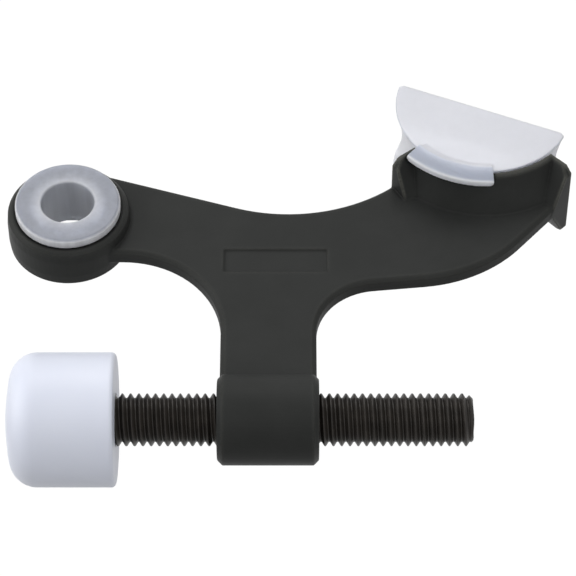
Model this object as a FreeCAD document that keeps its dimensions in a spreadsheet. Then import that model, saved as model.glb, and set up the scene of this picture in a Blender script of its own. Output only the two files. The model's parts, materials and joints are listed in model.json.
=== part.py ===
"""Hinge pin door stop: a black die-cast arm that hangs on a door's hinge pin.

A nylon bushing lines the eye that the hinge pin passes through. The far end of the arm holds a
self-aligning soft pad that bears on the door, and the leg carries a screw with a soft cap that
bears on the wall's trim and sets how far the door opens.

Frame, in millimetres: the origin is on the hinge pin's axis at the eye's underside, +Z runs up
the pin and +X runs along the adjusting screw, away from its cap.
"""
import FreeCAD, Part
import math
import os
import re
import Sketcher

Vector = FreeCAD.Vector

SIZES = [
    # The eye and its bushing
    ("eye_radius", 9.6),
    ("eye_thickness", 7.6),
    ("eye_draft", 0.15),
    ("eye_chamfer", 0.6),
    ("pin_bore_radius", 4.2),
    ("sleeve_wall", 1.4),
    ("flange_radius", 8.35),
    ("flange_thickness", 1.6),
    ("flange_chamfer", 0.35),
    ("bore_lead_in", 0.2),
    ("bushing_fit", 0.04),
    # The flat plate of the arm: shoulder, neck, dip, elbow, leg and armpit
    ("plate_thickness", 3.0),
    ("plate_edge_chamfer", 0.6),
    ("shoulder_radius", 13.0),
    ("shoulder_angle", 60.0),
    ("neck_angle", 17.8),
    ("dip_radius", 27.0),
    ("elbow_angle", 49.0),
    ("elbow_radius", 23.4),
    ("underside_angle", 6.0),
    ("underside_drop", 14.1),
    ("crotch_radius", 10.0),
    ("leg_left", 24.45),
    ("leg_width", 14.8),
    ("armpit_drop", 7.2),
    ("armpit_radius", 15.7),
    ("recess_x", 32.9),
    ("recess_drop", 8.8),
    ("recess_length", 16.4),
    ("recess_width", 4.7),
    ("recess_depth", 0.3),
    # The barrel, the adjusting screw and its soft cap
    ("barrel_drop", 39.2),
    ("barrel_radius", 6.9),
    ("barrel_length", 15.4),
    ("barrel_chamfer", 0.8),
    ("screw_radius", 4.0),
    ("screw_fit", 0.05),
    ("screw_start", 0.9),
    ("screw_length", 61.8),
    ("screw_chamfer", 0.7),
    ("cap_length", 16.6),
    ("cap_radius", 10.2),
    ("cap_grip", 8.0),
    ("cap_corner_round", 4.2),
    ("cap_crown", 0.6),
    ("cap_rim_chamfer", 0.4),
    ("cap_fit", 0.04),
    ("cap_end_gap", 0.2),
    # The saddle at the end of the arm, its two ears and the swivelling pad
    ("swivel_x", 66.5),
    ("swivel_y", 18.8),
    ("saddle_turn", 3.5),
    ("saddle_radius", 14.5),
    ("saddle_half_angle", 48.6),
    ("saddle_half_height", 7.5),
    ("saddle_lip", 0.9),
    ("saddle_root", 4.5),
    ("ear_depth", 4.6),
    ("ear_ridge_angle", 2.5),
    ("ear_outer_angle", 13.7),
    ("ear_inner_angle", 17.0),
    ("ear_foot_depth", 5.6),
    ("ear_corner_chamfer", 1.2),
    ("pad_turn", 22.8),
    ("pad_fit", 0.2),
    ("pad_setback", 0.66),
    ("pad_half_height", 7.6),
    ("pad_waist_depth", 1.3),
    ("pad_tip_chamfer", 0.7),
    ("hook_half_angle", 26.0),
    ("hook_thickness", 1.0),
    ("hook_fall", 0.7),
    ("hook_reach", 0.8),
    ("hook_root", 1.9),
    ("hook_corner_round", 0.7),
]

doc = FreeCAD.newDocument("HingePinDoorStop")
sheet = doc.addObject("Spreadsheet::Sheet", "sizes")
for row, (name, number) in enumerate(SIZES, start=1):
    sheet.set("A%d" % row, name)
    sheet.set("B%d" % row, str(number))
    sheet.setAlias("B%d" % row, name)
doc.recompute()

NAMES = {name for name, number in SIZES}


def bound(expression):
    """The expression with each size's name written as a cell of the sheet."""
    def cell(match):
        word = match.group(0)
        return "sizes." + word if word in NAMES else word
    return re.sub(r"[a-z]+(?:_[a-z]+)+", cell, expression)


def value(expression):
    """What an expression in the sizes comes to at present."""
    return float(sheet.evalExpression(expression))


def new_body(label, x="0", y="0", z="0", turn=None):
    """A body with its own Label, placed by expressions and turned about +Z."""
    body = doc.addObject("PartDesign::Body", label)
    body.Label = label
    for axis, place in (("x", x), ("y", y), ("z", z)):
        body.setExpression("Placement.Base." + axis, bound(place))
    if turn:
        body.Placement.Rotation = FreeCAD.Rotation(Vector(0, 0, 1), value(turn))
        body.setExpression("Placement.Rotation.Angle", bound(turn))
    return body


def new_sketch(body, name, plane, lift=None):
    """A sketch on one of the body's own planes, lifted along that plane's normal."""
    sketch = body.newObject("Sketcher::SketchObject", name)
    support = [feature for feature in body.Origin.OriginFeatures if feature.Role == plane]
    sketch.AttachmentSupport = [(support[0], "")]
    sketch.MapMode = "FlatFace"
    if lift:
        sketch.setExpression("AttachmentOffset.Base.z", bound(lift))
    return sketch


def dimension(sketch, kind, places, expression):
    """A driving dimension bound to an expression in the sizes."""
    index = sketch.addConstraint(Sketcher.Constraint(kind, *places, value(expression)))
    sketch.setExpression("Constraints[%d]" % index, bound(expression))


def pin_point(sketch, edge, end, x, y):
    """Holds one end of an edge at (x, y), each an expression."""
    for kind, axis, place in (("DistanceX", -2, x), ("DistanceY", -1, y)):
        if place == "0":
            sketch.addConstraint(Sketcher.Constraint("PointOnObject", edge, end, axis))
        else:
            dimension(sketch, kind, (-1, 1, edge, end), place)


def arc_between(start, end, radius):
    """The short arc between two points: counter-clockwise if the radius is positive."""
    chord = end - start
    rise = math.sqrt(max(radius * radius - chord.Length ** 2 / 4, 0))
    side = Vector(-chord.y, chord.x, 0).normalize()
    centre = (start + end) * 0.5 + side * math.copysign(rise, radius)
    angles = [math.atan2(p.y - centre.y, p.x - centre.x) for p in (start, end)]
    if radius < 0:
        angles.reverse()
    return Part.ArcOfCircle(Part.Circle(centre, Vector(0, 0, 1), abs(radius)), *angles)


def draw_outline(sketch, corners):
    """A closed outline through corners (x, y) or (x, y, radius), all expressions.

    The radius, on the corner where the edge starts, makes that edge an arc, and a minus sign in
    front turns it clockwise.
    """
    points = [Vector(value(corner[0]), value(corner[1]), 0) for corner in corners]
    ends = []
    for number, corner in enumerate(corners):
        start, end = points[number], points[(number + 1) % len(points)]
        if len(corner) == 2:
            edge = sketch.addGeometry(Part.LineSegment(start, end))
            ends.append((edge, 1, 2))
            continue
        radius = corner[2]
        edge = sketch.addGeometry(arc_between(start, end, value(radius)))
        clockwise = radius.startswith("-")
        ends.append((edge, 2, 1) if clockwise else (edge, 1, 2))
    for number, (edge, start, end) in enumerate(ends):
        following, follow_start, follow_end = ends[(number + 1) % len(ends)]
        sketch.addConstraint(Sketcher.Constraint("Coincident", edge, end, following, follow_start))
    for (edge, start, end), corner in zip(ends, corners):
        pin_point(sketch, edge, start, corner[0], corner[1])
        if len(corner) == 3:
            dimension(sketch, "Radius", (edge,), corner[2].lstrip("-"))


def draw_circle(sketch, x, y, radius):
    """A circle whose centre and radius are expressions."""
    circle = Part.Circle(Vector(value(x), value(y), 0), Vector(0, 0, 1), value(radius))
    edge = sketch.addGeometry(circle)
    pin_point(sketch, edge, 3, x, y)
    dimension(sketch, "Radius", (edge,), radius)


def draw_axis(sketch, x, y, across, up):
    """A construction line from (x, y), level or upright, for a piece to turn about."""
    start = Vector(value(x), value(y), 0)
    end = start + Vector(value(across), value(up), 0)
    edge = sketch.addGeometry(Part.LineSegment(start, end), True)
    pin_point(sketch, edge, 1, x, y)
    level = up == "0"
    sketch.addConstraint(Sketcher.Constraint("Horizontal" if level else "Vertical", edge))
    kind, length = ("DistanceX", across) if level else ("DistanceY", up)
    dimension(sketch, kind, (edge, 1, edge, 2), length)


def pad_both_ways(body, name, sketch, length):
    """Pads a sketch half its length to each side."""
    pad = body.newObject("PartDesign::Pad", name)
    pad.Profile = sketch
    pad.Midplane = True
    pad.setExpression("Length", bound(length))
    doc.recompute()
    return pad


def revolve(body, name, sketch, axis, angle="360"):
    """Turns a sketch about one of its own axes, half of the angle to each side."""
    turned = body.newObject("PartDesign::Revolution", name)
    turned.Profile = sketch
    turned.ReferenceAxis = (sketch, [axis])
    turned.Midplane = True
    turned.setExpression("Angle", bound(angle))
    doc.recompute()
    return turned


def cut_through(body, name, sketch):
    """Cuts a sketch through the whole body, both ways."""
    before = body.Shape.Volume
    pocket = body.newObject("PartDesign::Pocket", name)
    pocket.Profile = sketch
    pocket.Type = "ThroughAll"
    pocket.Midplane = True
    doc.recompute()
    assert body.Shape.Volume < before, name + " cut nothing"
    return pocket


def break_edges(body, kind, name, measure, size, wanted):
    """Fillets or chamfers the edges of the body's present shape that wanted(edge) picks."""
    base = body.Tip
    picked = ["Edge%d" % number for number, edge in enumerate(base.Shape.Edges, start=1)
              if wanted(edge)]
    feature = body.newObject(kind, name)
    feature.Base = (base, picked)
    feature.setExpression(measure, bound(size))
    doc.recompute()


def lies_level(edge, height):
    """Whether an edge lies wholly at one height above or below the body's own middle."""
    box = edge.BoundBox
    return box.ZLength < 1e-6 and abs(abs(box.ZMin) - height) < 1e-6


def swivel_reach(edge, choose):
    """How far from the pad's swivel axis the nearer (min) or farther (max) end of an edge lies."""
    across, along = value("swivel_x"), value("swivel_y")
    return choose(math.hypot(end.X - across, end.Y - along) for end in edge.Vertexes)


# Places that several pieces share
MIDDLE = "eye_thickness / 2"
SLEEVE_RADIUS = "(pin_bore_radius + sleeve_wall)"
LEG_RIGHT = "(leg_left + leg_width)"
LEG_CENTRE = "(leg_left + leg_width / 2)"
EAR_RADIUS = "(saddle_radius + ear_depth)"


def around_swivel(radius, angle):
    """A point round the pad's swivel axis: 0 degrees is the middle of the saddle's wall."""
    turn = "(%s - saddle_turn)" % angle
    return ("(swivel_x + (%s) * sin%s)" % (radius, turn),
            "(swivel_y - (%s) * cos%s)" % (radius, turn))


def plate_corners():
    """The arm's flat outline, clockwise from where it leaves the eye."""
    start = ("-eye_radius * cos(shoulder_angle)", "eye_radius * sin(shoulder_angle)")
    reach = "(shoulder_radius - eye_radius)"
    neck = ("(%s * cos(shoulder_angle) + shoulder_radius * sin(neck_angle))" % reach,
            "(shoulder_radius * cos(neck_angle) - %s * sin(shoulder_angle))" % reach)
    left_ear = around_swivel(EAR_RADIUS, "(0 - saddle_half_angle)")
    right_ear = around_swivel(EAR_RADIUS, "saddle_half_angle")

    # The dip's arc leaves the neck's line tangentially and ends on the left ear
    ahead = "((%s - %s) * cos(neck_angle) - (%s - %s) * sin(neck_angle))" % (
        left_ear[0], neck[0], left_ear[1], neck[1])
    above = "((%s - %s) * sin(neck_angle) + (%s - %s) * cos(neck_angle))" % (
        left_ear[0], neck[0], left_ear[1], neck[1])
    run = "(%s - sqrt(%s * (2 * dip_radius - %s)))" % (ahead, above, above)
    dip = ("%s + %s * cos(neck_angle)" % (neck[0], run),
           "%s - %s * sin(neck_angle)" % (neck[1], run))

    # The underside leaves the leg at a small slope and turns up at the elbow to the right ear
    rise = "(elbow_angle - underside_angle)"
    elbow_run = "(((%s - %s) * sin(elbow_angle) - (%s + underside_drop) * cos(elbow_angle)) / sin%s)" % (
        right_ear[0], LEG_RIGHT, right_ear[1], rise)
    elbow_trim = "(elbow_radius * tan(%s / 2))" % rise
    crotch_trim = "(crotch_radius * tan((90 - underside_angle) / 2))"

    def along_underside(distance):
        return ("%s + (%s) * cos(underside_angle)" % (LEG_RIGHT, distance),
                "(%s) * sin(underside_angle) - underside_drop" % distance)

    elbow = along_underside(elbow_run)
    elbow_top = ("%s + %s * cos(elbow_angle)" % (elbow[0], elbow_trim),
                 "%s + %s * sin(elbow_angle)" % (elbow[1], elbow_trim))
    elbow_low = along_underside("%s - %s" % (elbow_run, elbow_trim))
    crotch_top = along_underside(crotch_trim)

    inside_wall = "saddle_radius + saddle_lip / 2"
    return [
        start + ("-shoulder_radius",),
        neck,
        dip + ("dip_radius",),
        left_ear,
        around_swivel(inside_wall, "(0 - saddle_half_angle)") + (inside_wall,),
        around_swivel(inside_wall, "saddle_half_angle"),
        right_ear,
        elbow_top + ("-elbow_radius",),
        elbow_low,
        crotch_top + ("crotch_radius",),
        (LEG_RIGHT, "0 - underside_drop - %s" % crotch_trim),
        (LEG_RIGHT, "0 - barrel_drop"),
        ("leg_left", "0 - barrel_drop"),
        ("leg_left", "0 - armpit_drop - armpit_radius", "armpit_radius"),
        ("leg_left - armpit_radius", "0 - armpit_drop"),
        ("0", "0 - armpit_drop"),
    ]


def saddle_corners(inner_angle, outer_angle, wall, foot):
    """One level of the saddle: the wall between its ears, thin at the top and wide at the root."""
    half = "saddle_half_angle"
    inner = "(saddle_half_angle - %s)" % inner_angle
    outer = "(saddle_half_angle - %s)" % outer_angle
    back = "(saddle_radius + %s)" % wall
    ridge = "saddle_radius + %s" % foot
    return [
        around_swivel("saddle_radius", "(0 - %s)" % half) + ("saddle_radius",),
        around_swivel("saddle_radius", half),
        around_swivel(EAR_RADIUS, half),
        around_swivel(ridge, outer),
        around_swivel(back, inner) + ("-" + back,),
        around_swivel(back, "(0 - %s)" % inner),
        around_swivel(ridge, "(0 - %s)" % outer),
        around_swivel(EAR_RADIUS, "(0 - %s)" % half),
    ]


def arm_casting():
    """The die casting: eye, flat plate, leg with its barrel, and the saddle for the pad."""
    body = new_body("arm_casting", z=MIDDLE)

    outline = new_sketch(body, "plate_outline", "XY_Plane")
    draw_outline(outline, plate_corners())
    pad_both_ways(body, "plate", outline, "plate_thickness")
    half_plate = value("plate_thickness / 2")
    ear_reach = value(EAR_RADIUS) + 1e-3
    break_edges(body, "PartDesign::Chamfer", "plate_edges", "Size", "plate_edge_chamfer",
                lambda edge: lies_level(edge, half_plate) and swivel_reach(edge, max) > ear_reach)

    eye = new_sketch(body, "eye_section", "XZ_Plane")
    draw_outline(eye, [
        ("0", "0 - " + MIDDLE),
        ("eye_radius - eye_chamfer", "0 - " + MIDDLE),
        ("eye_radius", "eye_chamfer - " + MIDDLE),
        ("eye_radius + eye_draft", "0 - plate_thickness / 2"),
        ("eye_radius + eye_draft", "plate_thickness / 2"),
        ("eye_radius", MIDDLE + " - eye_chamfer"),
        ("eye_radius - eye_chamfer", MIDDLE),
        ("0", MIDDLE),
    ])
    revolve(body, "eye", eye, "V_Axis")

    barrel = new_sketch(body, "barrel_section", "XY_Plane")
    left = LEG_CENTRE + " - barrel_length / 2"
    right = LEG_CENTRE + " + barrel_length / 2"
    top = "barrel_radius - barrel_drop"
    draw_outline(barrel, [
        (right, "0 - barrel_drop"),
        (right, top + " - barrel_chamfer"),
        (right + " - barrel_chamfer", top),
        (left + " + barrel_chamfer", top),
        (left, top + " - barrel_chamfer"),
        (left, "0 - barrel_drop"),
    ])
    draw_axis(barrel, "0", "0 - barrel_drop", "barrel_length", "0")
    revolve(body, "barrel", barrel, "Axis0")

    thin = ("ear_ridge_angle", "ear_ridge_angle", "saddle_lip", "ear_depth")
    wide = ("ear_inner_angle", "ear_outer_angle", "saddle_root", "ear_foot_depth")
    levels = []
    for name, level, lift in (("saddle_foot", thin, "0 - saddle_half_height"),
                              ("saddle_middle", wide, None),
                              ("saddle_head", thin, "saddle_half_height")):
        sketch = new_sketch(body, name, "XY_Plane", lift)
        draw_outline(sketch, saddle_corners(*level))
        levels.append(sketch)
    doc.recompute()
    saddle = body.newObject("PartDesign::AdditiveLoft", "saddle")
    saddle.Profile = levels[0]
    saddle.Sections = levels[1:]
    saddle.Ruled = True
    doc.recompute()
    # A cone round the swivel axis takes off the outer corner of each ear, above and below
    corners = new_sketch(body, "ear_corner_section", "XZ_Plane", "0 - swivel_y")
    inner = "swivel_x + %s - 2 * ear_corner_chamfer" % EAR_RADIUS
    outer = "swivel_x + %s + ear_corner_chamfer" % EAR_RADIUS
    for side in ("", "0 - "):
        draw_outline(corners, [
            (inner, side + "(saddle_half_height + ear_corner_chamfer)"),
            (outer, side + "(saddle_half_height - 2 * ear_corner_chamfer)"),
            (outer, side + "(saddle_half_height + ear_corner_chamfer)"),
        ])
    draw_axis(corners, "swivel_x", "0", "0", "saddle_half_height")
    before = body.Shape.Volume
    groove = body.newObject("PartDesign::Groove", "ear_corners")
    groove.Profile = corners
    groove.ReferenceAxis = (corners, ["Axis0"])
    groove.Angle = 360
    doc.recompute()
    assert body.Shape.Volume < before, "the ear corners cut nothing"

    recess = new_sketch(body, "recess_outline", "XY_Plane", "plate_thickness / 2")
    draw_outline(recess, [
        ("recess_x %s recess_length / 2" % across, "%s recess_width / 2 - recess_drop" % along)
        for across, along in (("-", "0 -"), ("+", "0 -"), ("+", ""), ("-", ""))
    ])
    before = body.Shape.Volume
    pocket = body.newObject("PartDesign::Pocket", "recess")
    pocket.Profile = recess
    pocket.setExpression("Length", bound("recess_depth"))
    doc.recompute()
    assert body.Shape.Volume < before, "the recess cut nothing"

    eye_bore = new_sketch(body, "eye_bore_outline", "XY_Plane")
    draw_circle(eye_bore, "0", "0", SLEEVE_RADIUS + " + bushing_fit")
    cut_through(body, "eye_bore", eye_bore)

    screw_bore = new_sketch(body, "screw_bore_outline", "YZ_Plane")
    draw_circle(screw_bore, "0 - barrel_drop", "0", "screw_radius + screw_fit")
    cut_through(body, "screw_bore", screw_bore)
    return body


def hinge_bushing():
    """The nylon bushing: a flange on the eye and a sleeve down through it."""
    body = new_body("hinge_bushing", z="eye_thickness")
    section = new_sketch(body, "bushing_section", "XZ_Plane")
    sleeve_end = "0 - eye_thickness"
    draw_outline(section, [
        ("pin_bore_radius", sleeve_end),
        (SLEEVE_RADIUS, sleeve_end),
        (SLEEVE_RADIUS, "0"),
        ("flange_radius", "0"),
        ("flange_radius", "flange_thickness - flange_chamfer"),
        ("flange_radius - flange_chamfer", "flange_thickness"),
        ("pin_bore_radius + bore_lead_in", "flange_thickness"),
        ("pin_bore_radius", "flange_thickness - bore_lead_in"),
    ])
    revolve(body, "bushing", section, "V_Axis")
    return body


def adjusting_screw():
    """The all-thread screw at its thread's outer radius, chamfered at both ends."""
    body = new_body("adjusting_screw", x="screw_start", y="0 - barrel_drop", z=MIDDLE)
    section = new_sketch(body, "screw_section", "XY_Plane")
    draw_outline(section, [
        ("0", "0"),
        ("screw_length", "0"),
        ("screw_length", "screw_radius - screw_chamfer"),
        ("screw_length - screw_chamfer", "screw_radius"),
        ("screw_chamfer", "screw_radius"),
        ("0", "screw_radius - screw_chamfer"),
    ])
    revolve(body, "screw", section, "H_Axis")
    return body


def bumper_cap():
    """The soft cap pushed over the screw's end: a crowned face, round corner and blind bore."""
    body = new_body("bumper_cap", x="screw_start + cap_grip", y="0 - barrel_drop", z=MIDDLE)
    section = new_sketch(body, "cap_section", "XY_Plane")
    shoulder = "(cap_radius - cap_corner_round)"
    crown_radius = "((%s * %s + cap_crown * cap_crown) / (2 * cap_crown))" % (shoulder, shoulder)
    bore = "screw_radius + cap_fit"
    bore_end = "0 - cap_grip - cap_end_gap"
    draw_outline(section, [
        (bore_end, "0"),
        (bore_end, bore),
        ("0", bore),
        ("0", "cap_radius - cap_rim_chamfer"),
        ("0 - cap_rim_chamfer", "cap_radius"),
        ("cap_corner_round + cap_crown - cap_length", "cap_radius", "cap_corner_round"),
        ("cap_crown - cap_length", shoulder, crown_radius),
        ("0 - cap_length", "0"),
    ])
    revolve(body, "cap", section, "H_Axis")
    return body


def swivel_pad():
    """The soft half-moon pad that turns in the saddle, with a hook over each edge of its wall."""
    body = new_body("swivel_pad", "swivel_x", "swivel_y", MIDDLE, turn="0 - pad_turn")
    pad_radius = "(saddle_radius - pad_fit)"
    # Its round side is a shallow hollow curve between a rim at the top and one at the bottom
    spool = new_sketch(body, "spool_section", "XZ_Plane")
    waist_curve = ("((pad_half_height * pad_half_height + pad_waist_depth * pad_waist_depth)"
                   " / (2 * pad_waist_depth))")
    draw_outline(spool, [
        ("0", "0 - pad_half_height"),
        (pad_radius, "0 - pad_half_height", "-" + waist_curve),
        (pad_radius, "pad_half_height"),
        ("0", "pad_half_height"),
    ])
    revolve(body, "spool", spool, "V_Axis")

    # The flat side, which meets the door, with its two tips taken off
    beyond = "(2 * saddle_radius)"
    tip = "(%s - pad_tip_chamfer)" % pad_radius
    fall = "(%s - %s + pad_setback)" % (beyond, tip)
    flat = new_sketch(body, "flat_side", "XY_Plane")
    draw_outline(flat, [
        ("0 - " + beyond, "0 - " + fall),
        ("0 - " + tip, "0 - pad_setback"),
        (tip, "0 - pad_setback"),
        (beyond, "0 - " + fall),
        (beyond, beyond),
        ("0 - " + beyond, beyond),
    ])
    cut_through(body, "flat_side_cut", flat)

    # Each hook leaves the pad's top, passes over the wall's lip and reaches down its sloping back
    spread = "((saddle_root - saddle_lip) / saddle_half_height)"
    under = "(saddle_half_height + pad_fit)"
    over = "(%s + hook_thickness)" % under
    tip = "(%s - hook_reach)" % under
    lip_back = "(saddle_radius + saddle_lip + pad_fit)"
    tip_back = "(%s + %s * hook_reach)" % (lip_back, spread)
    root = "(saddle_radius - hook_root)"
    section = [
        (root, "(pad_half_height - hook_thickness)"),
        (pad_radius, "(pad_half_height - hook_thickness)"),
        (pad_radius, under),
        (lip_back, under),
        (tip_back, tip),
        ("(%s + hook_thickness)" % tip_back, tip),
        ("(%s + hook_thickness)" % tip_back, "(%s - hook_fall)" % over),
        (pad_radius, over),
        (root, "pad_half_height"),
    ]
    for name, side in (("upper_hook", ""), ("lower_hook", "0 - ")):
        sketch = new_sketch(body, name + "_section", "YZ_Plane")
        draw_outline(sketch, [("0 - " + radius, side + height) for radius, height in section])
        revolve(body, name, sketch, "V_Axis", "2 * hook_half_angle")
    tip_height = value(tip)
    break_edges(body, "PartDesign::Fillet", "hook_corners", "Radius", "hook_corner_round",
                lambda edge: lies_level(edge, tip_height) and isinstance(edge.Curve, Part.Line))
    return body


SUB_PARTS = [arm_casting(), hinge_bushing(), adjusting_screw(), bumper_cap(), swivel_pad()]
doc.recompute()

for item in doc.Objects:
    assert not {"Invalid", "Error"} & set(item.State), "%s is %s" % (item.Name, item.State)

os.makedirs("parts", exist_ok=True)
for part in SUB_PARTS:
    shape = part.Shape
    assert not shape.isNull() and shape.isValid() and len(shape.Solids) == 1, part.Label
    shape.exportStep("parts/%s.step" % part.Label)
    box = shape.BoundBox
    print("%s: %.1f mm3, x %.2f to %.2f, y %.2f to %.2f, z %.2f to %.2f" % (
        part.Label, shape.Volume, box.XMin, box.XMax, box.YMin, box.YMax, box.ZMin, box.ZMax))
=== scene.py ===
"""Looks of a hinge pin door stop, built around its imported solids.

Black satin casting, black oxide screw with a real rolled thread, white rubber cap and two pieces
of uncoloured see-through plastic, on a pale floor under soft studio light. Lengths are in metres.
"""
import json
import math

import bpy
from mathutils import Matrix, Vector


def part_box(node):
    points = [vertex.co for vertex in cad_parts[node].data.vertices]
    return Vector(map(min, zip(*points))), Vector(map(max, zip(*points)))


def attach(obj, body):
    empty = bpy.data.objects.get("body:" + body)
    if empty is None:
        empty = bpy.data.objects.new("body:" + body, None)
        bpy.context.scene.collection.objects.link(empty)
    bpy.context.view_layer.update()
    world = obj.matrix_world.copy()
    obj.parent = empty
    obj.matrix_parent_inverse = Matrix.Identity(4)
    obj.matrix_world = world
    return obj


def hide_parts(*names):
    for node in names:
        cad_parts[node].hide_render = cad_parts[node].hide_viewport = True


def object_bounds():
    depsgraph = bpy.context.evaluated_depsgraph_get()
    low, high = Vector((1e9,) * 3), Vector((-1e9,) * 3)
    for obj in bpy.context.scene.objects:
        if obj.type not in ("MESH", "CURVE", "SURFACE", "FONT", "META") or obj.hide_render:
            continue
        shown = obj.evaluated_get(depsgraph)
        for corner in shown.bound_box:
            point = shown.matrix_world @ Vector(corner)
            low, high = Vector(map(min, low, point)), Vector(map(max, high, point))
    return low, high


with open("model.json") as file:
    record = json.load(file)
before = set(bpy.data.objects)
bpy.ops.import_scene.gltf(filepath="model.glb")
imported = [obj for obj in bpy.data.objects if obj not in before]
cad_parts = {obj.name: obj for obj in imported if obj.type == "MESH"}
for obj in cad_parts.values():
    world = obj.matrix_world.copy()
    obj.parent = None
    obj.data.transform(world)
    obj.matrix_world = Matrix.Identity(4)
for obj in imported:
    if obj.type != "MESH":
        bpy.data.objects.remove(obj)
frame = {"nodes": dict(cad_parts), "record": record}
cad_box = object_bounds()

MM = 0.001
WHITE = (1, 1, 1, 1)

# The photograph's camera: its viewing angle, its distance and its focal length in pixels
IMAGE_WIDTH = 576
FOCAL_PIXELS = 2950
SENSOR = 36.0
ELEVATION = math.radians(50)
LOOK_AT = Vector((34.86, -13.14, 3.7)) * MM
DISTANCE = 462.2 * MM
NEAREST = 10 * MM

# The screw's thread: a coarse 8 mm metric one with the rolled form's flats
PITCH = 1.25 * MM
THREAD_RADIUS = 3.99 * MM
THREAD_DEPTH = 0.66 * MM
CREST_ROUNDING = 0.08 * THREAD_DEPTH
ROOT_ROUNDING = 0.10 * THREAD_DEPTH
THREAD_STEPS = 72
THREAD_CREASE = 28
LEAD_TURNS = 2
END_CHAMFER = 0.75 * MM

# Points that lie closer than this are one point, on a copied solid and between the thread's turns
SAME_POINT = 0.001 * MM
SAME_TURN_POINT = 0.002 * MM

# Real sizes behind the finishes' patterns, the painted edge highlight and the painted corner shade
COAT_CLOUD = 8 * MM
WORN_AND_HIGHLIT_EDGE = 0.7 * MM
SHADED_CORNER = 0.8 * MM
CAST_GRAIN = 0.6 * MM
CAST_GRAIN_DEPTH = 0.05 * MM
OXIDE_BLOTCH = 2.5 * MM
RUBBER_CLOUD = 14 * MM
RUBBER_GLOW = 1.2 * MM
FLOW_STREAK = 1.2 * MM
PLASTIC_GLOW = 0.8 * MM

# Rays that feel for other faces near a point of the casting
FEELERS = 8

# The clear pieces from their axis outwards: reach in millimetres, colour, share of light let through
# In the bushing the first ring is painted shade on the bore wall, and the last ring a painted
# highlight on the rim
NYLON_RINGS = [
    (4.25, "#ced1d8", 0.5), (4.45, "#e6e8ee", 0.42), (4.8, "#dee1ea", 0.5),
    (6.3, "#d3d8e7", 0.62), (8.0, "#d3d8e7", 0.62), (8.3, "#f1f2f6", 0.3),
]
# The pad's last ring is a painted highlight on the hook's lower rim
PAD_RINGS = [
    (14.0, "#ebecf2", 0.33), (14.5, "#d6dcea", 0.58), (16.5, "#d6dcea", 0.58), (16.9, "#f4f5f8", 0.3),
]

# The floor, the tent's strength from its foot to its top, and the softboxes: offset, side and watts
FLOOR_SIZE = 4.0
FLOOR_DROP = 22 * MM
FLOOR_WHITE_SHARE = 0.85
FLOOR_WHITE = 1.14
TENT_FOOT = 0.14
TENT_TOP = 0.7
SOFTBOXES = [
    ("left_light", (-0.75, 0.0, 0.25), 0.7, 4.1),
    ("back_light", (-0.1, 0.55, 0.65), 0.5, 2.3),
    ("front_light", (0.4, -0.47, 0.62), 0.6, 2.0),
]


def linear(code):
    """An sRGB hex colour as linear red, green, blue and alpha."""
    channels = [int(code[i:i + 2], 16) / 255 for i in (1, 3, 5)]
    return [c / 12.92 if c <= 0.04045 else ((c + 0.055) / 1.055) ** 2.4 for c in channels] + [1.0]


def node(tree, kind, settings=None, inputs=None, stops=()):
    """Adds a node, sets its settings, fills or links its inputs and places a ramp's colours."""
    made = tree.nodes.new(kind)
    for name, setting in (settings or {}).items():
        setattr(made, name, setting)
    for name, source in (inputs or {}).items():
        if isinstance(source, bpy.types.NodeSocket):
            tree.links.new(source, made.inputs[name])
        else:
            made.inputs[name].default_value = source
    for number, (place, colour) in enumerate(stops):
        elements = made.color_ramp.elements
        element = elements[number] if number < len(elements) else elements.new(place)
        element.position = place
        element.color = colour
    return made


def new_material(name):
    """A node material, its tree, and the shader that its surface uses."""
    material = bpy.data.materials.new(name)
    material.use_nodes = True
    tree = material.node_tree
    return material, tree, tree.nodes["Principled BSDF"]


def set_shader(shader, **values):
    """Sets the shader's own sockets, named with underscores for spaces."""
    for name, value in values.items():
        shader.inputs[name.replace("_", " ")].default_value = value


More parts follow.
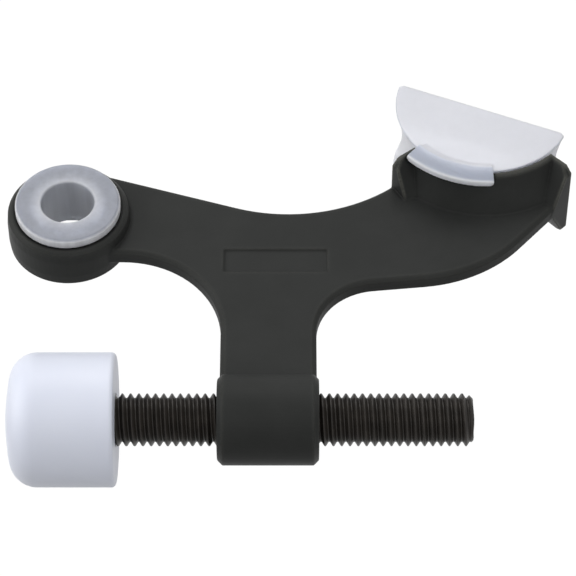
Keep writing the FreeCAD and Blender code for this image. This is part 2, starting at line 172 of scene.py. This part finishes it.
def casting_coat():
    """Satin black coating on a zinc die casting.

    The coat is nearly even, its cast grain breaks up the shine, and it is thinner on the edges. Edges
    are painted lighter, as wear and as a painted highlight, and inner corners darker, as painted
    shade.
    """
    material, tree, shader = new_material("satin_black_coating")
    place = node(tree, "ShaderNodeTexCoord").outputs["Object"]
    # Clouds where the coat lies thicker
    clouds = node(tree, "ShaderNodeTexNoise", inputs={
        "Vector": place, "Scale": 1 / COAT_CLOUD, "Detail": 4.0}).outputs["Fac"]
    flat = node(tree, "ShaderNodeValToRGB", inputs={"Fac": clouds},
                stops=[(0.3, linear("#2a2b2a")), (0.7, linear("#303130"))])
    # Edges, where another face lies close behind the surface, get worn coat and a painted highlight
    behind = node(tree, "ShaderNodeAmbientOcclusion", {"inside": True, "samples": FEELERS}, {
        "Distance": WORN_AND_HIGHLIT_EDGE})
    edge = node(tree, "ShaderNodeMapRange", inputs={
        "Value": behind.outputs["AO"], "From Min": 0.9, "From Max": 0.7, "To Max": 0.6})
    worn_and_highlit = node(tree, "ShaderNodeMix", {"data_type": "RGBA"}, {
        0: edge.outputs["Result"], 6: flat.outputs["Color"], 7: linear("#6c6c65")})
    # Painted shade: inner corners are painted darker, where shade falls
    corner_shade_probe = node(tree, "ShaderNodeAmbientOcclusion", {"samples": FEELERS}, {
        "Distance": SHADED_CORNER})
    corner = node(tree, "ShaderNodeMapRange", inputs={
        "Value": corner_shade_probe.outputs["AO"], "From Min": 0.91, "From Max": 0.7, "To Max": 0.85})
    coat_with_painted_light = node(tree, "ShaderNodeMix", {"data_type": "RGBA"}, {
        0: corner.outputs["Result"], 6: worn_and_highlit.outputs[2], 7: linear("#040404")})
    tree.links.new(coat_with_painted_light.outputs[2], shader.inputs["Base Color"])
    grain = node(tree, "ShaderNodeTexNoise", inputs={
        "Vector": place, "Scale": 1 / CAST_GRAIN, "Detail": 3.0})
    bump = node(tree, "ShaderNodeBump", inputs={
        "Strength": 0.25, "Distance": CAST_GRAIN_DEPTH, "Height": grain.outputs["Fac"]})
    tree.links.new(bump.outputs["Normal"], shader.inputs["Normal"])
    roughness = node(tree, "ShaderNodeMapRange", inputs={
        "Value": clouds, "To Min": 0.42, "To Max": 0.56})
    tree.links.new(roughness.outputs["Result"], shader.inputs["Roughness"])
    set_shader(shader, Specular_IOR_Level=0.07)
    return material


def oxide_steel():
    """Black oxide on a rolled steel thread: dark and mottled, with a thin oily shine."""
    material, tree, shader = new_material("black_oxide_steel")
    place = node(tree, "ShaderNodeTexCoord").outputs["Object"]
    # Blotches from brownish to plain black
    mottle = node(tree, "ShaderNodeTexNoise", inputs={
        "Vector": place, "Scale": 1 / OXIDE_BLOTCH, "Detail": 4.0}).outputs["Fac"]
    shade = node(tree, "ShaderNodeValToRGB", inputs={"Fac": mottle},
                 stops=[(0.3, linear("#201d1a")), (0.7, linear("#2c2824"))])
    tree.links.new(shade.outputs["Color"], shader.inputs["Base Color"])
    roughness = node(tree, "ShaderNodeMapRange", inputs={
        "Value": mottle, "To Min": 0.34, "To Max": 0.5})
    tree.links.new(roughness.outputs["Result"], shader.inputs["Roughness"])
    set_shader(shader, Metallic=0.3, Specular_IOR_Level=0.3)
    return material


def white_rubber():
    """White moulded rubber: smooth and even, with a soft broad shine and a little depth."""
    material, tree, shader = new_material("white_moulded_rubber")
    place = node(tree, "ShaderNodeTexCoord").outputs["Object"]
    clouds = node(tree, "ShaderNodeTexNoise", inputs={
        "Vector": place, "Scale": 1 / RUBBER_CLOUD, "Detail": 2.0})
    shade = node(tree, "ShaderNodeValToRGB", inputs={"Fac": clouds.outputs["Fac"]},
                 stops=[(0.3, linear("#d9ddea")), (0.7, linear("#dde1ed"))])
    tree.links.new(shade.outputs["Color"], shader.inputs["Base Color"])
    set_shader(shader, Roughness=0.42, Specular_IOR_Level=0.4, Subsurface_Weight=0.35,
               Subsurface_Radius=(1.0, 1.0, 1.0), Subsurface_Scale=RUBBER_GLOW)
    return material


def clear_plastic(name, axis, rings, mottle):
    """Uncoloured frosted plastic: milky where thick, bluish and darker where thin over black.

    The rings lie round an upright axis. A rim ring painted brighter is a painted highlight. The
    mottle is the share by which flow streaks darken the colour.
    """
    material, tree, shader = new_material(name)
    place = node(tree, "ShaderNodeTexCoord").outputs["Object"]
    offset = node(tree, "ShaderNodeVectorMath", {"operation": "SUBTRACT"}, {0: place, 1: axis})
    level = node(tree, "ShaderNodeVectorMath", {"operation": "MULTIPLY"}, {
        0: offset.outputs["Vector"], 1: (1, 1, 0)})
    distance = node(tree, "ShaderNodeVectorMath", {"operation": "LENGTH"}, {
        0: level.outputs["Vector"]})
    widest = rings[-1][0]
    share = node(tree, "ShaderNodeMath", {"operation": "DIVIDE"}, {
        0: distance.outputs["Value"], 1: widest * MM})
    ramp = node(tree, "ShaderNodeValToRGB", inputs={"Fac": share.outputs[0]},
                stops=[(reach / widest, linear(colour)[:3] + [through])
                       for reach, colour, through in rings])
    # Streaks are drawn out upright, as the mould fills
    drawn = node(tree, "ShaderNodeVectorMath", {"operation": "MULTIPLY"}, {
        0: place, 1: (1, 1, 0.06)})
    streaks = node(tree, "ShaderNodeTexNoise", inputs={
        "Vector": drawn.outputs["Vector"], "Scale": 1 / FLOW_STREAK, "Detail": 2.0})
    gain = node(tree, "ShaderNodeMapRange", inputs={
        "Value": streaks.outputs["Fac"], "From Min": 0.3, "From Max": 0.7,
        "To Min": 1 - mottle, "To Max": 1.0})
    shade = node(tree, "ShaderNodeVectorMath", {"operation": "SCALE"}, {
        0: ramp.outputs["Color"], "Scale": gain.outputs["Result"]})
    tree.links.new(shade.outputs["Vector"], shader.inputs["Base Color"])
    tree.links.new(ramp.outputs["Alpha"], shader.inputs["Transmission Weight"])
    set_shader(shader, Roughness=0.4, IOR=1.45, Subsurface_Weight=0.6,
               Subsurface_Radius=(1.0, 1.0, 1.0), Subsurface_Scale=PLASTIC_GLOW)
    return material


def deselect():
    """Lets go of every object, so that an operator acts only on what is picked next."""
    bpy.ops.object.select_all(action="DESELECT")


def make_active(piece):
    """Picks one piece alone."""
    deselect()
    piece.select_set(True)
    bpy.context.view_layer.objects.active = piece


def apply_modifier(piece, kind, **settings):
    """Adds a modifier, sets it up and applies it."""
    make_active(piece)
    modifier = piece.modifiers.new(kind.lower(), kind)
    for name, value in settings.items():
        setattr(modifier, name, value)
    bpy.ops.object.modifier_apply(modifier=modifier.name)


def edit_all(piece):
    """Opens a piece's mesh for editing with everything selected."""
    make_active(piece)
    bpy.ops.object.mode_set(mode="EDIT")
    bpy.ops.mesh.select_all(action="SELECT")


def close_edit():
    """Turns the faces outwards and ends the editing."""
    bpy.ops.mesh.select_all(action="SELECT")
    bpy.ops.mesh.normals_make_consistent(inside=False)
    bpy.ops.object.mode_set(mode="OBJECT")


def finish_piece(piece, material, body, replaced):
    """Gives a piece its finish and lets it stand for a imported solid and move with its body."""
    piece.data.materials.clear()
    piece.data.materials.append(material)
    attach(piece, body)
    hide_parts(replaced)


def soft_copy(source, name, grain, rounds, crease=180, kept=1.0):
    """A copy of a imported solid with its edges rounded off, as a cast or moulded piece has them.

    The grain is the size of the new mesh's faces, and each round of smoothing widens the edges.
    Faces that meet at more than the crease, in degrees, keep a crisp edge. A kept share below 1
    joins small faces where the surface is flat.
    """
    piece = bpy.data.objects.new(name, frame["nodes"][source].data.copy())
    piece.data.name = name
    bpy.context.collection.objects.link(piece)
    edit_all(piece)
    bpy.ops.mesh.remove_doubles(threshold=SAME_POINT)
    close_edit()
    apply_modifier(piece, "REMESH", mode="VOXEL", voxel_size=grain)
    apply_modifier(piece, "SMOOTH", factor=0.5, iterations=rounds)
    if kept < 1:
        apply_modifier(piece, "DECIMATE", ratio=kept)
    make_active(piece)
    bpy.ops.object.shade_smooth_by_angle(angle=math.radians(crease))
    return piece


def rolled_profile(pitches):
    """The thread's outline over whole pitches from x = 0: crest flat, flank, round root, flank."""
    root = THREAD_RADIUS - THREAD_DEPTH
    one = [
        (0.00, THREAD_RADIUS), (0.12, THREAD_RADIUS), (0.17, THREAD_RADIUS - CREST_ROUNDING),
        (0.44, root + ROOT_ROUNDING), (0.50, root), (0.62, root),
        (0.68, root + ROOT_ROUNDING), (0.95, THREAD_RADIUS - CREST_ROUNDING),
    ]
    points = [((turn + share) * PITCH, radius) for turn in range(pitches) for share, radius in one]
    points.append((pitches * PITCH, THREAD_RADIUS))
    return points


def threaded_screw():
    """The adjusting screw with its thread: one turn of the outline, stepped along by one pitch."""
    low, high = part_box("adjusting_screw")
    centre = (low + high) / 2
    # The outline starts ahead of the screw and ends past it, to be cut to length
    pitches = math.ceil((high.x - low.x) / PITCH) + LEAD_TURNS + 1
    points = rolled_profile(pitches)
    mesh = bpy.data.meshes.new("threaded_screw")
    mesh.from_pydata([(x, radius, 0) for x, radius in points],
                     [(i, i + 1) for i in range(len(points) - 1)], [])
    screw = bpy.data.objects.new("threaded_screw", mesh)
    bpy.context.collection.objects.link(screw)
    apply_modifier(screw, "SCREW", axis="X", screw_offset=PITCH, steps=THREAD_STEPS,
                   render_steps=THREAD_STEPS, use_smooth_shade=False)
    screw.location = (low.x - LEAD_TURNS * PITCH, centre.y, centre.z)
    bpy.ops.object.transform_apply(location=True)

    # Both ends are cut off square and closed
    edit_all(screw)
    bpy.ops.mesh.remove_doubles(threshold=SAME_TURN_POINT)
    for end, outwards in ((low.x, -1), (high.x, 1)):
        bpy.ops.mesh.select_all(action="SELECT")
        bpy.ops.mesh.bisect(plane_co=(end, centre.y, centre.z), plane_no=(outwards, 0, 0),
                            clear_outer=True)
    bpy.ops.mesh.select_all(action="SELECT")
    bpy.ops.mesh.fill_holes(sides=0)
    close_edit()

    # Near each end the thread runs out on the blank's chamfer
    for vertex in screw.data.vertices:
        inset = min(vertex.co.x - low.x, high.x - vertex.co.x)
        reach = math.hypot(vertex.co.y - centre.y, vertex.co.z - centre.z)
        share = min(1, (THREAD_RADIUS - END_CHAMFER + inset) / max(reach, MM))
        vertex.co.y = centre.y + (vertex.co.y - centre.y) * share
        vertex.co.z = centre.z + (vertex.co.z - centre.z) * share
    bpy.ops.object.shade_smooth_by_angle(angle=math.radians(THREAD_CREASE))
    return screw


def seen_directly(tree):
    """1 for rays that look at a surface straight on, in a mirror or through glass, 0 for light."""
    path = node(tree, "ShaderNodeLightPath")
    mirrored = node(tree, "ShaderNodeMath", {"operation": "MAXIMUM"}, {
        0: path.outputs["Is Camera Ray"], 1: path.outputs["Is Glossy Ray"]})
    return node(tree, "ShaderNodeMath", {"operation": "MAXIMUM"}, {
        0: mirrored.outputs[0], 1: path.outputs["Is Transmission Ray"]}).outputs[0]


def pale_floor(centre, height):
    """A wide floor that shows as white and still takes the part's shadow."""
    deselect()
    bpy.ops.mesh.primitive_plane_add(size=FLOOR_SIZE, location=(centre.x, centre.y, height))
    floor = bpy.context.active_object
    floor.name = "floor"
    material, tree, shader = new_material("pale_floor")
    set_shader(shader, Base_Color=linear("#a2a2a2"), Roughness=0.9, Specular_IOR_Level=0.0)
    share = node(tree, "ShaderNodeMath", {"operation": "MULTIPLY"}, {
        0: seen_directly(tree), 1: FLOOR_WHITE_SHARE})
    white = node(tree, "ShaderNodeEmission", inputs={"Color": WHITE, "Strength": FLOOR_WHITE})
    mix = node(tree, "ShaderNodeMixShader", inputs={
        0: share.outputs[0], 1: shader.outputs[0], 2: white.outputs[0]})
    tree.links.new(mix.outputs[0], tree.nodes["Material Output"].inputs["Surface"])
    floor.data.materials.append(material)


def white_surround():
    """A surround that shows as white and lights the part like a soft tent, more from above."""
    world = bpy.data.worlds.new("surround")
    world.use_nodes = True
    bpy.context.scene.world = world
    tree = world.node_tree
    direction = node(tree, "ShaderNodeTexCoord").outputs["Generated"]
    parts = node(tree, "ShaderNodeSeparateXYZ", inputs={"Vector": direction})
    tent = node(tree, "ShaderNodeMapRange", inputs={
        "Value": parts.outputs["Z"], "From Min": 0.0, "From Max": 1.0,
        "To Min": TENT_FOOT, "To Max": TENT_TOP})
    strength = node(tree, "ShaderNodeMix", inputs={
        0: seen_directly(tree), 2: tent.outputs["Result"], 3: 1.0})
    background = tree.nodes["Background"]
    background.inputs["Color"].default_value = WHITE
    tree.links.new(strength.outputs[0], background.inputs["Strength"])


def soft_lamp(name, centre, offset, size, watts):
    """A square softbox that faces the part from an offset."""
    data = bpy.data.lights.new(name, "AREA")
    data.energy = watts
    data.size = size
    lamp = bpy.data.objects.new(name, data)
    bpy.context.collection.objects.link(lamp)
    lamp.location = centre + Vector(offset)
    lamp.rotation_euler = (-Vector(offset)).to_track_quat("-Z", "Y").to_euler()


def place_camera():
    """The camera in front of the part, at the photograph's height and distance."""
    data = bpy.data.cameras.new("photo_camera")
    data.sensor_width = SENSOR
    data.lens = FOCAL_PIXELS / IMAGE_WIDTH * SENSOR
    data.clip_start = NEAREST
    camera = bpy.data.objects.new("photo_camera", data)
    bpy.context.collection.objects.link(camera)
    back = Vector((0, -math.cos(ELEVATION), math.sin(ELEVATION)))
    camera.location = LOOK_AT + back * DISTANCE
    camera.rotation_euler = (math.pi / 2 - ELEVATION, 0, 0)
    bpy.context.scene.camera = camera


arm = soft_copy("arm_casting", "coated_arm", 0.17 * MM, 1, kept=0.36)
finish_piece(arm, casting_coat(), "arm", "arm_casting")

bushing = soft_copy("hinge_bushing", "clear_bushing", 0.12 * MM, 1, crease=25)
nylon = clear_plastic("natural_nylon", (0, 0, 0), NYLON_RINGS, mottle=0.16)
finish_piece(bushing, nylon, "arm", "hinge_bushing")

cap = soft_copy("bumper_cap", "rubber_cap", 0.2 * MM, 1, crease=40)
finish_piece(cap, white_rubber(), "bumper", "bumper_cap")

pad = soft_copy("swivel_pad", "frosted_pad", 0.18 * MM, 3)
swivel = [joint["pos_m"] for joint in frame["record"]["behaviour"]["joints"]
          if joint["name"] == "pad_swivel"][0]
soft = clear_plastic("clear_soft_plastic", swivel, PAD_RINGS, mottle=0.02)
finish_piece(pad, soft, "pad", "swivel_pad")

finish_piece(threaded_screw(), oxide_steel(), "screw", "adjusting_screw")

bpy.context.scene.view_settings.view_transform = "Standard"
low, high = [Vector(corner) for corner in cad_box]
middle = (low + high) / 2
pale_floor(middle, low.z - FLOOR_DROP)
white_surround()
for name, offset, size, watts in SOFTBOXES:
    soft_lamp(name, middle, offset, size, watts)
place_camera()
